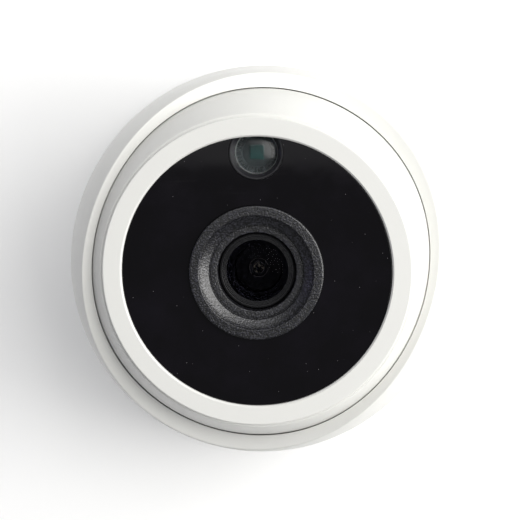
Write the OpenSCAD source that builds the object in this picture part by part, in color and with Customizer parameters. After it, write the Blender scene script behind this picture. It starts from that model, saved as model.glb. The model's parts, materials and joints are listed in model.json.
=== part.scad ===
// Indoor eyeball turret security camera.
// It stands on its mounting face, with +Z out of the ceiling or wall and +Y towards the top of the picture.
// The turret is drawn turned by rest_pan, the eyeball leaned over by rest_tilt about its trunnions, and the
// face rolled back, so that the picture stays upright.

/* [Base] */
// Outer diameter of the base at the mounting face
base_d = 92; // [90:1:94]
// Lean of the outer wall from vertical, in degrees
wall_lean = 8.9; // [8.5:0.1:9.3]
// Thickness of the mounting plate
plate_t = 2.4; // [2:0.1:2.6]
// Radius of the cable hole in the mounting plate
cable_hole_r = 9; // [6:0.5:12]
// Pitch circle diameter of the wall screw holes
screw_pcd = 60; // [56:1:62]
// Radius of the wall screw holes
screw_hole_r = 2.1; // [1.6:0.1:2.4]

/* [Turret] */
// Radius of the rounded shoulder of the turret housing
shoulder_r = 39.3; // [39.2:0.1:39.6]
// Radius of the scoop across the mouth that leaves the side cheeks standing
scoop_r = 62; // [60:1:64]
// Lowest height of the mouth's rim, at its top and bottom edges
rim_low = 50; // [49.5:0.5:51]

/* [Eyeball] */
// Radius of the eyeball
ball_r = 35; // [34.9:0.1:35.05]
// Height of the eyeball's centre above the mounting face
ball_z = 45; // [44.8:0.1:45.5]
// Wall thickness of the eyeball's shells
shell_t = 2.2; // [2:0.1:2.3]
// Lean of the lens axis from the axis of the base
rest_tilt = 6; // [0:1:10]
// Turn of the turret, and so of its trunnions, from the X axis
rest_pan = -22; // [-45:1:45]
// Radius of the trunnion pins
pin_r = 2.5; // [2.3:0.1:2.6]

/* [Face] */
// Distance from the ball's centre to the flat front of the bezel
face_z = 19; // [18.9:0.1:19.1]
// Outer radius of the bezel
bezel_r = 29.4; // [29.3:0.1:29.5]
// Radius of the window
window_r = 25.6; // [25.5:0.1:25.7]
// Thickness of the window
window_t = 2; // [1.8:0.1:2]
// Outer radius of the lens hood
hood_r = 12.75; // [12.6:0.05:12.9]
// Distance from the lens axis to the array LED
led_y = 22.65; // [22.5:0.05:22.8]

/* [Lens] */
// Radius of the lens head
head_r = 7.2; // [7.1:0.05:7.25]
// Radius of the lens thread
thread_r = 5.9; // [5.8:0.05:5.95]
// Radius of the domed front glass
glass_r = 6; // [5.9:0.05:6.1]

/* [Filter switcher] */
// Travel of the filter blade
filter_travel = 6.6; // [6.4:0.1:6.7]
// Distance from the rotor's axis to the pin that drives the blade
arm_l = 7; // [6.9:0.1:7.1]

/* [Hidden] */

$fn = 96;
small_fn = 32;              // screws and other small round parts
cut = 1;                    // how far a cutting shape runs past what it cuts
gap = 0.1;                  // clearance between sliding faces
ball_gap = 0.35;            // clearance between the eyeball and the housing

white = [0.93, 0.93, 0.90];
warm_white = [0.88, 0.88, 0.85];
black = [0.03, 0.03, 0.035];
dark = [0.10, 0.10, 0.11];
steel = [0.72, 0.73, 0.75];
brass = [0.80, 0.65, 0.30];
board_green = [0.05, 0.28, 0.14];
rubber = [0.06, 0.06, 0.06];

base_r = base_d / 2;
function wall_r(z) = base_r - tan(wall_lean) * z;   // outer wall's radius at a height
wall_t = 2.2;

// Bayonet between the mounting plate and the base ring
hook_r = 39.2;
hook_w = 1.6;
hook_deg = 8;
unlock_deg = 15;
web_z = 4.8;
web_t = 2;
skirt_z = 0.3;

// Pan bearing between the base ring and the turret
rim_z = 9;
hub_r = 38;
hub_w = 1.6;
flange_t = 2;
flange_z = rim_z + gap;
retainer_z = flange_z + flange_t + 4 * gap;
retainer_t = 1.8;
pan_boss_r = 35;
pan_ring_z = flange_z + flange_t + gap / 2;

// Turret
shoulder_z = 40;
tangent_z = shoulder_z + shoulder_r * sin(wall_lean);
cavity_r = ball_r + ball_gap;
socket_z = 31;              // where the wall starts to thicken into the socket
bush_r = 3.4;
bush_x0 = cavity_r + 0.05;
bush_x1 = bush_x0 + 2.6;

// Eyeball
inner_r = ball_r - shell_t;
back_z = -27;               // flat back of the rear shell
land_z0 = 13.4;             // bearing land for the rolling face
land_z1 = face_z - 0.9;
mouth_r = 28.6;
washer_x = 34.2;
washer_t = 0.65;
shell_boss_r = 29.6;
half_gap = 0.05;            // half of the parting line between the two shells
gland_r = 4;
cable_r = 2.5;

// Face
collar_r = mouth_r - gap;
collar_w = 1.6;
flange_front = 0.8;
tape_t = 0.15;
pocket_z = face_z - window_t - 0.5 - tape_t;
window_z = pocket_z + tape_t;
ledge_t = 2;
ledge_z = pocket_z - ledge_t;
ledge_r = 23.6;
roll_z1 = land_z0 - 0.6;
roll_z0 = roll_z1 - 1.9;
roll_boss_r = 25.9;
post_x = 16.5;
led_pocket_r = 5.1;
led_r = 3.9;
led_board_z = ledge_z - 1.1;
led_screw_x = 8.5;
led_screw_y = 22.5;
plug_y = 16.9;              // face of the LED plug that the wires leave

// Boards and lens
board_t = 1.2;
board_w = 36;
board_hole_r = 1.1;
second_board_z = -9;
ear_x = 12;                 // screws of the sensor frame
ear_t = 1;
holder_z = 5.6;
lock_z = 10.4;
head_z0 = 11.6;
head_z1 = 16;
filter_z = 2.2;
blade_z = 3.4;
rotor_y = -12;
half_swing = asin(filter_travel / 2 / arm_l);
slot_x = -filter_travel / 2;

// A ring between two radii and two heights
module ring(r_out, r_in, z0, z1) {
    rotate_extrude() translate([r_in, z0]) square([r_out - r_in, z1 - z0]);
}

// Part of a ring, from one angle through a span
module arc_ring(r_out, r_in, z0, z1, from, span) {
    rotate([0, 0, from])
    rotate_extrude(angle = span) translate([r_in, z0]) square([r_out - r_in, z1 - z0]);
}

// A solid turned from an outline of [radius, height] points
module turned(points) {
    rotate_extrude() polygon(points);
}

// A straight cylinder between two heights at a place
module post(x, y, r, z0, z1) {
    translate([x, y, z0]) cylinder(r = r, h = z1 - z0);
}

// A block centred in X and Y between two heights
module block(x, y, w, d, z0, z1) {
    translate([x - w / 2, y - d / 2, z0]) cube([w, d, z1 - z0]);
}

// Copies of the children at equal angles
module around(count, from = 0) {
    for (i = [0:count - 1]) rotate([0, 0, from + i * 360 / count]) children();
}

// Copies of the children on the four corners of a square
module corners(half) {
    for (x = [-half, half], y = [-half, half]) translate([x, y, 0]) children();
}

// A pan-head screw with a cross recess, its head's underside at z = 0 and its tip pointing down
module screw(head_r, head_h, shank_r, shank_l) {
    difference() {
        union() {
            cylinder(r = head_r, h = head_h, $fn = small_fn);
            translate([0, 0, -shank_l]) cylinder(r = shank_r, h = shank_l + head_h / 2, $fn = small_fn);
        }
        for (a = [0, 90]) rotate([0, 0, a])
            block(0, 0, head_r * 1.2, head_r * 0.28, head_h * 0.45, head_h * 1.45);
    }
}

// The frame of the turret: turned about the base, with X along the trunnions
module on_turret(z = 0) {
    translate([0, 0, z]) rotate([0, 0, rest_pan]) children();
}

// The frame of the eyeball: the ball's centre, with Z along the lens axis and X along the trunnions
module on_lens_axis() {
    on_turret(ball_z) rotate([rest_tilt, 0, 0]) children();
}

// The frame of the face: the eyeball's, rolled so that Y points to the top of the picture
module on_face() {
    on_lens_axis() rotate([0, 0, -rest_pan]) children();
}

// A cylinder along X between two distances, on both sides of the ball's centre
module side_pins(r, x0, x1) {
    for (s = [-1, 1]) rotate([0, s * 90, 0]) translate([0, 0, x0]) cylinder(r = r, h = x1 - x0);
}

// ---- Mounting plate and base ring ----

module mount_plate() {
    color(warm_white) {
        difference() {
            union() {
                cylinder(r = base_r - 4, h = plate_t);
                ring(cable_hole_r + 2.5, cable_hole_r, 0, plate_t + 1.2);
                ring(22, 20.6, 0, plate_t + 0.8);
                around(3, 30) post(screw_pcd / 2, 0, screw_hole_r + 2.2, 0, plate_t + 0.6);
            }
            translate([0, 0, -cut]) cylinder(r = cable_hole_r, h = plate_t + 3 * cut);
            around(3, 30) post(screw_pcd / 2, 0, screw_hole_r, -cut, plate_t + 2 * cut);
            ring(37.5, 24.5, -cut, 0.8);
        }
        around(3, 30) ring_foot();
        around(3) {
            arc_ring(hook_r + hook_w, hook_r, plate_t - 0.4, web_z + web_t + gap + 1.6, 0, hook_deg);
            arc_ring(hook_r + 2.4, hook_r - 0.8, web_z + web_t + gap, web_z + web_t + gap + 1.6, 0, hook_deg);
        }
    }
}

// Solid pad round a wall screw hole, down to the mounting face
module ring_foot() {
    difference() {
        post(screw_pcd / 2, 0, screw_hole_r + 2.2, 0, plate_t);
        post(screw_pcd / 2, 0, screw_hole_r, -cut, plate_t + cut);
    }
}

module base_ring() {
    color(white)
    difference() {
        union() {
            turned([[wall_r(3), skirt_z], [wall_r(3), 3], [wall_r(rim_z - 0.4), rim_z - 0.4],
                    [wall_r(rim_z) - 0.4, rim_z], [wall_r(rim_z) - wall_t, rim_z],
                    [wall_r(3) - wall_t, 3], [wall_r(3) - wall_t, skirt_z]]);
            ring(wall_r(web_z) - wall_t + 0.6, hub_r - hub_w, web_z, web_z + web_t);
            ring(hub_r, hub_r - hub_w, web_z, retainer_z);
            around(3, 60)
                arc_ring(hub_r - 0.8, pan_boss_r - 2.3, web_z + 0.4, retainer_z - gap / 2, -4, 8);
        }
        around(3) {
            arc_ring(hook_r + hook_w + 0.3, hook_r - 0.3, web_z - cut, web_z + web_t + cut / 2,
                     -1, hook_deg + unlock_deg + 2);
            arc_ring(hook_r + 2.7, hook_r - 1.1, web_z - cut, web_z + web_t + cut / 2,
                     unlock_deg - 1, hook_deg + 2);
        }
        around(3, 60) post(pan_boss_r, 0, 1.15, web_z - cut, retainer_z + cut);
    }
}

// ---- Pan bearing ----

module pan_retainer() {
    color(dark) {
        difference() {
            ring(hub_r + 2.3, pan_boss_r - 2.8, retainer_z, retainer_z + retainer_t);
            around(3, 60) post(pan_boss_r, 0, 1.4, retainer_z - cut, retainer_z + retainer_t + cut);
            ring(hub_r + 1.9, hub_r + 0.5, retainer_z - cut, retainer_z + 0.3);
        }
        arc_ring(hub_r + 3.4, hub_r + 2.2, retainer_z, retainer_z + retainer_t,
                 rest_pan + 178, 4);
    }
}

module pan_retainer_screws() {
    color(steel) around(3, 60) translate([pan_boss_r, 0, retainer_z + retainer_t]) screw(2.2, 1.5, 1.1, 7);
}

module pan_friction_ring() {
    color(rubber) ring(hub_r + 1.8, hub_r + 0.6, pan_ring_z, retainer_z + 0.3);
}

// ---- Turret housing ----

// Outside of the housing: a leaning wall that rolls over into a round shoulder
module housing_outside() {
    translate([0, 0, flange_z])
        cylinder(r1 = wall_r(flange_z), r2 = wall_r(tangent_z), h = tangent_z - flange_z);
    intersection() {
        translate([0, 0, shoulder_z]) sphere(r = shoulder_r);
        translate([0, 0, tangent_z]) cylinder(r = base_r, h = 2 * ball_r);
    }
}

// Hollow of the housing: a round socket that opens out below the ball's centre
module housing_hollow() {
    translate([0, 0, ball_z]) sphere(r = cavity_r);
    hollow_z = flange_z + flange_t;
    bottom_r = wall_r(flange_z) - wall_t;
    socket_r = wall_r(socket_z) - wall_t;
    translate([0, 0, socket_z]) cylinder(r1 = socket_r, r2 = cavity_r, h = ball_z - socket_z);
    translate([0, 0, hollow_z]) cylinder(r1 = bottom_r, r2 = socket_r, h = socket_z - hollow_z);
    translate([0, 0, flange_z - cut]) cylinder(r = hub_r + gap, h = flange_t + 2 * cut);
}

module turret_housing() {
    color(white) on_turret() {
        difference() {
            housing_outside();
            housing_hollow();
            translate([0, base_r, rim_low + scoop_r]) rotate([90, 0, 0]) cylinder(r = scoop_r, h = base_d);
            translate([0, 0, ball_z]) side_pins(bush_r, bush_x0 - 2, bush_x1);
        }
        arc_ring(hub_r + 4.6, hub_r + 2.7, flange_z + flange_t - gap, retainer_z + retainer_t, -2.5, 5);
    }
}

module trunnion_bushes() {
    color(warm_white) on_turret(ball_z)
    difference() {
        side_pins(bush_r, bush_x0, bush_x1);
        side_pins(pin_r + 0.05, bush_x0 - cut, bush_x1 + cut);
    }
}

// ---- Eyeball ----

module eyeball_front_shell() {
    color(white) on_lens_axis()
    difference() {
        union() {
            difference() {
                sphere(r = ball_r);
                sphere(r = inner_r);
            }
            intersection() {
                sphere(r = ball_r - 0.5);
                ring(ball_r, mouth_r, land_z0, land_z1);
            }
            intersection() {
                sphere(r = ball_r - 0.5);
                around(4, 45) post(shell_boss_r, 0, 2.2, 0, 9);
            }
        }
        translate([0, 0, land_z1]) cylinder(r = ball_r, h = ball_r);
        cylinder(r = mouth_r, h = ball_r);
        translate([0, 0, half_gap - 2 * ball_r]) cylinder(r = ball_r + cut, h = 2 * ball_r);
        around(4, 45) post(shell_boss_r, 0, 1.15, -cut, 8);
        trunnion_cuts();
    }
}

// Holes for the trunnion pins and recesses for the tilt washers
module trunnion_cuts() {
    side_pins(pin_r, inner_r - 4, ball_r + cut);
    side_pins(4.9, washer_x, ball_r + cut);
}

module eyeball_rear_shell() {
    color(white) on_lens_axis()
    difference() {
        intersection() {
            sphere(r = ball_r);
            translate([0, 0, back_z]) cylinder(r = ball_r + cut, h = -back_z - half_gap);
        }
        difference() {
            intersection() {
                sphere(r = inner_r);
                translate([0, 0, back_z + shell_t]) cylinder(r = ball_r, h = 2 * ball_r);
            }
            around(4, 45) post(shell_boss_r, 0, 3.4, -21, cut);
        }
        around(4, 45) post(shell_boss_r, 0, 1.4, -ball_r, cut);
        around(4, 45) post(shell_boss_r, 0, 2.6, -ball_r, -7);
        post(0, 0, gland_r, back_z - cut, back_z + shell_t + cut);
        trunnion_cuts();
    }
}

module eyeball_screws() {
    color(steel) on_lens_axis()
    around(4, 45) translate([shell_boss_r, 0, -7]) rotate([180, 0, 0]) screw(2.2, 1.6, 1.1, 13.5);
}

module trunnion_pins() {
    color(steel) on_turret(ball_z) {
        side_pins(pin_r, inner_r - 1.6, bush_x1 - 0.3);
        side_pins(4, inner_r - 3.2, inner_r - 1.6);
    }
}

module tilt_washers() {
    color(rubber) on_turret(ball_z)
    difference() {
        side_pins(4.8, washer_x, washer_x + washer_t);
        side_pins(pin_r, washer_x - cut, cavity_r + cut);
    }
}

module cable_gland() {
    inside_z = back_z + shell_t;
    nose_z = inside_z + 3;
    color(rubber) on_lens_axis()
    turned([[cable_r, back_z - 2], [gland_r + 1.2, back_z - 2], [gland_r + 2, back_z - 1.2],
            [gland_r + 2, back_z], [gland_r, back_z], [gland_r, inside_z],
            [gland_r + 1.4, inside_z], [gland_r + 0.6, nose_z], [cable_r, nose_z]]);
}

// ---- Rolling face ----

// The notch that lets the array LED stand through the ledge and the window
module led_notch(r, z0, z1) {
    post(0, led_y, r, z0, z1);
}

module bezel_ring() {
    color(white) on_face()
    difference() {
        union() {
            turned([[ledge_r, ledge_z], [collar_r - collar_w, ledge_z], [collar_r - collar_w, roll_z1],
                    [collar_r, roll_z1], [collar_r, face_z - flange_front], [bezel_r, face_z - flange_front],
                    [bezel_r, face_z - 0.3], [bezel_r - 0.3, face_z], [window_r + 0.3, face_z],
                    [window_r + 0.05, face_z - 0.25], [window_r + 0.05, pocket_z], [ledge_r, pocket_z]]);
            around(3, 30) post(roll_boss_r, 0, 2, roll_z1, ledge_z);
            corners(post_x) cylinder(r = 2.2, h = ledge_z + 0.5);
        }
        led_notch(led_r + 0.25, ledge_z - cut, pocket_z + cut / 4);
        around(3, 30) post(roll_boss_r, 0, 0.9, roll_z1 - cut, ledge_z + 1);
        corners(post_x) translate([0, 0, -cut]) cylinder(r = 0.95, h = 7);
        for (x = [-led_screw_x, led_screw_x]) post(x, led_screw_y, 0.75, ledge_z - cut, ledge_z + 1.4);
    }
}

module roll_retainer() {
    color(dark) on_face()
    difference() {
        union() {
            ring(29.7, 27.3, roll_z0, roll_z1);
            around(3, 30) arc_ring(28, roll_boss_r - 2, roll_z0, roll_z1, -5, 10);
        }
        around(3, 30) post(roll_boss_r, 0, 1.15, roll_z0 - cut, roll_z1 + cut);
    }
}

module roll_retainer_screws() {
    color(steel) on_face()
    around(3, 30) translate([roll_boss_r, 0, roll_z0]) rotate([180, 0, 0]) screw(1.6, 1.1, 0.85, 3.4);
}

module roll_friction_ring() {
    color(rubber) on_face() ring(29.6, collar_r, roll_z1, land_z0 - 0.05);
}

module window() {
    color(black) on_face()
    difference() {
        translate([0, 0, window_z]) cylinder(r = window_r, h = window_t);
        post(0, 0, hood_r + 0.05, pocket_z - cut, face_z + cut);
        led_notch(led_pocket_r + 0.05, pocket_z - cut, face_z + cut);
    }
}

module window_tape() {
    color(dark) on_face()
    difference() {
        ring(window_r - 0.2, ledge_r + 0.1, pocket_z, window_z);
        led_notch(led_pocket_r + 0.05, pocket_z - cut, face_z);
    }
}

// Textured funnel round the lens: a flat rim, a hollow cone, a step, and an inner ring
module lens_hood() {
    color(black) on_face()
    turned([[7.45, 12], [9.2, 12], [9.2, ledge_z], [15.4, ledge_z], [15.4, window_z - 0.05],
            [hood_r, window_z - 0.05], [hood_r, face_z + 0.15], [hood_r - 0.3, face_z + 0.4],
            [10.95, face_z + 0.4], [10.8, face_z + 0.2], [10.3, 18.8], [9.8, 18.45], [9.3, 18.2],
            [9.15, 18.1], [9.05, 17.9], [9.05, 17.2], [8.85, 17.2], [8.7, 17.35], [7.6, 16.95],
            [7.45, 16.75]]);
}

module hood_foam_sleeve() {
    color(dark) on_face() ring(9.9, 8.3, 7.1, 12);
}

// ---- Lens ----

module lens_barrel() {
    color(black) on_face()
    turned([[4.6, 5.9], [thread_r - 0.4, 5.9], [thread_r, 6.3], [thread_r, head_z0],
            [head_r - 0.2, head_z0], [head_r, head_z0 + 0.2], [head_r, head_z1 - 0.3],
            [head_r - 0.3, head_z1], [glass_r + 0.7, head_z1], [glass_r + 0.7, 14.2],
            [5.4, 14.2], [5.4, 12.4], [4.6, 12.4]]);
}

// Stepped ring that holds the front glass
module lens_retaining_ring() {
    color(black) on_face()
    turned([[glass_r, 15], [glass_r + 0.65, 15], [glass_r + 0.65, 15.95], [glass_r + 0.5, 15.95],
            [glass_r + 0.5, 15.8], [glass_r + 0.35, 15.8], [glass_r + 0.35, 15.6], [glass_r + 0.2, 15.6],
            [glass_r + 0.2, 15.4], [glass_r, 15.4]]);
}

// Front meniscus: domed outside, hollow behind
module front_lens() {
    dome_r = 11;
    hollow_r = 4.6;
    color([0.25, 0.3, 0.4]) on_face()
    difference() {
        intersection() {
            translate([0, 0, head_z1 - dome_r]) sphere(r = dome_r);
            translate([0, 0, 14.25]) cylinder(r = glass_r - 0.02, h = 3);
        }
        translate([0, 0, 10.6]) sphere(r = hollow_r);
    }
}

module aperture_ring() {
    color(dark) on_face()
    turned([[1.1, 9.6], [4.55, 9.6], [4.55, 10.2], [1.9, 10.2], [1.1, 9.8]]);
}

module inner_lens() {
    color([0.3, 0.35, 0.4]) on_face()
    intersection() {
        translate([0, 0, 2.9]) sphere(r = 6.5);
        translate([0, 0, 7.6]) cylinder(r = 4.5, h = 1.9);
    }
}

module rear_lens() {
    color([0.3, 0.35, 0.4]) on_face()
    intersection() {
        translate([0, 0, 14.5]) sphere(r = 8.5);
        translate([0, 0, 5.95]) cylinder(r = 4.5, h = 1.6);
    }
}

// Knurled nut that locks the focus
module lens_lock_ring() {
    color(black) on_face()
    difference() {
        ring(7.6, thread_r, lock_z, lock_z + 1);
        around(24) post(7.75, 0, 0.35, lock_z - cut, lock_z + 2 * cut, $fn = small_fn);
    }
}

// Threaded tube for the lens on a flange
module lens_holder() {
    color(dark) on_face()
    difference() {
        union() {
            post(0, 0, 8, holder_z, lock_z - gap);
            block(0, 0, 17, 14, holder_z, holder_z + 1.4);
        }
        post(0, 0, thread_r + 0.05, holder_z - cut, lock_z + cut);
    }
}

// Frame round the image sensor, with an ear for a screw at each side
module sensor_frame() {
    color(dark) on_face()
    difference() {
        union() {
            block(0, 0, 16, 16, 0, filter_z);
            block(0, 0, 2 * ear_x + 3, 6, 0, ear_t);
        }
        block(0, 0, 12.4, 11.4, -cut, filter_z + cut);
        for (x = [-ear_x, ear_x]) post(x, 0, 0.85, -cut, 2 * cut, $fn = small_fn);
    }
}

module lens_holder_screws() {
    color(steel) on_face()
    for (x = [-ear_x, ear_x]) translate([x, 0, ear_t]) screw(1.5, 1, 0.8, 2.1);
}

// ---- Filter switcher ----

module filter_frame() {
    color(dark) on_face()
    difference() {
        block(0, -3.5, 25, 21, filter_z, holder_z);
        block(0, 0, 22.6, 8.4, blade_z - 0.3, holder_z - 0.7);
        block(0, 0, 9, 7, filter_z - cut, holder_z + cut);
        block(0, -6, 12, 8, blade_z - 0.3, holder_z + cut);
        post(0, rotor_y, 2.6, filter_z - cut, holder_z + cut);
        block(0, -9, 5.2, 5, filter_z - cut, holder_z + cut);
        block(0, -13.6, 5.2, 3, filter_z - cut, holder_z + cut);
        block(0, -12, 13.2, 4.6, filter_z + 0.6, holder_z + cut);
    }
}

module filter_blade() {
    color([0.15, 0.15, 0.16]) on_face()
    difference() {
        union() {
            block(slot_x, 0, 14.8, 7.6, blade_z, blade_z + 0.9);
            block(slot_x, -5.2, 4, 3.6, blade_z, blade_z + 0.9);
        }
        for (x = [0, -filter_travel]) block(x, 0.1, 5.6, 6.2, blade_z + 0.25, blade_z + 2);
        for (x = [0, -filter_travel]) block(x, 0.1, 4.8, 5.4, blade_z - cut, blade_z + 2);
        block(slot_x, -5.4, 1.4, 2.3, blade_z - cut, blade_z + 2);
    }
}

module ir_cut_filter() {
    color([0.45, 0.75, 0.85]) on_face() block(0, 0.1, 5.5, 6.1, blade_z + 0.25, blade_z + 0.75);
}

module clear_filter() {
    color([0.85, 0.9, 0.92]) on_face()
    block(-filter_travel, 0.1, 5.5, 6.1, blade_z + 0.25, blade_z + 0.75);
}

// Magnet with an arm whose pin stands in the blade's slot
module filter_rotor() {
    color([0.3, 0.3, 0.32]) on_face()
    translate([0, rotor_y, 0]) rotate([0, 0, half_swing]) {
        translate([0, 0, filter_z]) cylinder(r = 2.2, h = 2.3);
        block(0, arm_l / 2, 1.4, arm_l, blade_z + 1.05, blade_z + 1.6);
        translate([0, 0, filter_z + 2]) cylinder(r = 1.2, h = blade_z + 1.6 - filter_z - 2);
        translate([0, arm_l, blade_z + 0.1]) cylinder(r = 0.5, h = 1.5, $fn = small_fn);
    }
}

module filter_coil() {
    color([0.7, 0.35, 0.12]) on_face()
    for (x = [-4.6, 4.6]) translate([x, rotor_y, filter_z + 1.75]) rotate([0, 90, 0])
        rotate_extrude() translate([0.55, -1.2]) square([0.5, 2.4]);
}

module filter_yoke() {
    color(steel) on_face()
    for (s = [-1, 1]) {
        translate([s * 2.9, rotor_y, filter_z + 1.75]) rotate([0, s * 90, 0]) cylinder(r = 0.5, h = 3.4);
    }
}

// ---- Boards ----

module image_sensor() {
    color([0.2, 0.2, 0.22]) on_face()
    difference() {
        block(0, 0, 9, 8.3, 0, 1.1);
        block(0, 0, 6.4, 4.2, 0.6, 2);
    }
}

module sensor_glass() {
    color([0.6, 0.7, 0.75]) on_face() block(0, 0, 7.6, 6.6, 1.1, 1.5);
}

// A square board with a hole at each corner
module square_board(z_top) {
    difference() {
        block(0, 0, board_w, board_w, z_top - board_t, z_top);
        corners(post_x) post(0, 0, board_hole_r, z_top - board_t - cut, z_top + cut, $fn = small_fn);
    }
}

module main_board() {
    color(board_green) on_face()
    difference() {
        square_board(0);
        for (x = [-ear_x, ear_x]) post(x, 0, 0.85, -board_t - cut, cut, $fn = small_fn);
    }
}

module main_board_chips() {
    color(dark) on_face() {
        block(2, 2, 12, 12, -board_t - 0.9, -board_t);
        block(-10.5, 7, 6, 5, -board_t - 0.8, -board_t);
        block(-10, -2, 5, 6, -board_t - 0.9, -board_t);
        block(11.5, -10, 3, 3, -board_t - 0.7, -board_t);
        for (x = [-4:2:4]) block(x, 12.5, 1, 0.5, -board_t - 0.5, -board_t);
        for (y = [-6:2:6]) block(15.3, y, 0.5, 1, -board_t - 0.5, -board_t);
    }
}

module interface_board() {
    color(board_green) on_face() square_board(second_board_z);
}

module interface_parts() {
    low = second_board_z - board_t;
    color(dark) on_face() {
        for (x = [-9, -1]) post(x, 8, 3, low - 6.5, low);
        block(10, 7, 6.5, 6.5, low - 3, low);
        block(-10, -3, 5, 4, low - 1.5, low);
        block(9, -3, 6, 4, low - 1.6, low);
    }
}

// Stacking connector between the two boards
module board_header() {
    color([0.9, 0.88, 0.8]) on_face()
    block(-3, -10, 14, 4, second_board_z, -board_t);
}

// Socket for the cable that enters through the gland
module cable_socket() {
    low = second_board_z - board_t;
    color([0.9, 0.88, 0.8]) on_face()
    difference() {
        block(0, -13, 14, 5.5, low - 5, low);
        block(0, -13, 12.4, 3.9, low - 5 - cut, low - 1);
    }
}

module board_spacers() {
    color(brass) on_face()
    corners(post_x) difference() {
        post(0, 0, 2, second_board_z, -board_t);
        post(0, 0, board_hole_r, second_board_z - cut, cut - board_t, $fn = small_fn);
    }
}

module board_screws() {
    color(steel) on_face()
    corners(post_x) translate([0, 0, second_board_z - board_t]) rotate([180, 0, 0]) screw(1.8, 1.2, 0.9, 15);
}

// ---- Array LED ----

module led_board() {
    color([0.9, 0.9, 0.88]) on_face()
    difference() {
        intersection() {
            block(0, 21.6, 22, 9.6, led_board_z, ledge_z - gap / 2);
            post(0, 0, collar_r - collar_w - 0.1, 0, face_z);
        }
        for (x = [-led_screw_x, led_screw_x])
            post(x, led_screw_y, 0.85, led_board_z - cut, face_z, $fn = small_fn);
    }
}

module led_board_screws() {
    color(steel) on_face()
    for (x = [-led_screw_x, led_screw_x])
        translate([x, led_screw_y, led_board_z]) rotate([180, 0, 0]) screw(1.3, 0.8, 0.7, 2.2);
}

module array_led() {
    color([0.1, 0.5, 0.45]) on_face() {
        post(0, led_y, led_r - 0.1, ledge_z - gap / 2, ledge_z + 0.5);
        block(0, led_y, 3, 3, ledge_z + 0.5, ledge_z + 0.8);
    }
}

module led_lens() {
    color([0.75, 0.8, 0.8]) on_face()
    difference() {
        intersection() {
            post(0, led_y, led_r, ledge_z + 0.5, face_z);
            translate([0, led_y, ledge_z - 0.5]) sphere(r = led_r + 0.15);
        }
        block(0, led_y, 3.1, 3.1, ledge_z, ledge_z + 0.9);
    }
}

module led_cup() {
    color(dark) on_face()
    intersection() {
        translate([0, led_y, 0])
        turned([[led_r + 0.2, pocket_z], [led_pocket_r, pocket_z], [led_pocket_r, face_z - 0.7],
                [led_pocket_r - 0.3, face_z - 0.7], [led_r + 0.2, face_z - 1.6]]);
        cylinder(r = window_r - 0.02, h = face_z);
    }
}

module led_plug() {
    color([0.9, 0.88, 0.8]) on_face() block(0, plug_y - 1.8, 5, 3.6, 0, 4.2);
}

// Two wires that leave the plug level and bend up to the LED board
module led_wires() {
    color([0.6, 0.1, 0.08]) on_face()
    for (x = [-1.2, 1.2]) {
        post(x, plug_y + 1, 0.45, 4.4, led_board_z, $fn = small_fn);
        translate([x, plug_y, 4.4]) rotate([0, 90, 0])
            rotate_extrude(angle = 90) translate([1, 0]) circle(r = 0.45, $fn = small_fn);
    }
}

mount_plate();
base_ring();
pan_retainer();
pan_retainer_screws();
pan_friction_ring();
turret_housing();
trunnion_bushes();
eyeball_front_shell();
eyeball_rear_shell();
eyeball_screws();
trunnion_pins();
tilt_washers();
cable_gland();
bezel_ring();
roll_retainer();
roll_retainer_screws();
roll_friction_ring();
window();
window_tape();
lens_hood();
hood_foam_sleeve();
lens_barrel();
lens_retaining_ring();
front_lens();
aperture_ring();
inner_lens();
rear_lens();
lens_lock_ring();
lens_holder();
sensor_frame();
lens_holder_screws();
filter_frame();
filter_blade();
ir_cut_filter();
clear_filter();
filter_rotor();
filter_coil();
filter_yoke();
image_sensor();
sensor_glass();
main_board();
main_board_chips();
interface_board();
interface_parts();
board_header();
cable_socket();
board_spacers();
board_screws();
led_board();
led_board_screws();
array_led();
led_lens();
led_cup();
led_plug();
led_wires();
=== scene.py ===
import json
import math

import bmesh
import bpy
from mathutils import Matrix, Vector


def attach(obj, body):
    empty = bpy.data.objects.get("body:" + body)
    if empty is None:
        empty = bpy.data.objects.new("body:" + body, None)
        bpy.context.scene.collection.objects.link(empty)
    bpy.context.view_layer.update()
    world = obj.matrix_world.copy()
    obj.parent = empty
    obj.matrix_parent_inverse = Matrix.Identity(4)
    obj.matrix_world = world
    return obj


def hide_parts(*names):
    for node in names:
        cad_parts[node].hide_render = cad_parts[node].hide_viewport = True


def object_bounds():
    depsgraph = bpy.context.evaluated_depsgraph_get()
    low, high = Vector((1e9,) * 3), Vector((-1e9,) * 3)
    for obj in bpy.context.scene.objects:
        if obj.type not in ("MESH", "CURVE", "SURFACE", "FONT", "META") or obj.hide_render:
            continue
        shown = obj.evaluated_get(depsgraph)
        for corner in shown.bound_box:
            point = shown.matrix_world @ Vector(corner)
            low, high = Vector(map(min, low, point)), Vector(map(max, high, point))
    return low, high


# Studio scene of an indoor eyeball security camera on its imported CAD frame.
# Parts that show are rebuilt as finer meshes in the place of their CAD nodes. Parts inside keep theirs.
# Lengths are in millimetres up to where a mesh is made, unless a name or comment says metres.
# An outline is a list of [radius, height] points, or of [radius, height, rounding] corners.

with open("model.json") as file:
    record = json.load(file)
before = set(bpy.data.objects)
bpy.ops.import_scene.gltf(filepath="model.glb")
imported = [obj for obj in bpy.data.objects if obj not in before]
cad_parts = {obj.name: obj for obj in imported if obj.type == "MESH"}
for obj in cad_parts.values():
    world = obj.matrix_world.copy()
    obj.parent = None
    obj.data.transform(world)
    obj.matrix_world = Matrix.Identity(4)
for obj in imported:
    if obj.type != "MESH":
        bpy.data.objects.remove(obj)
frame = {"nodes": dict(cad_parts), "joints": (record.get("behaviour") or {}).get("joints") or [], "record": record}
cad_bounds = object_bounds()

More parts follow.
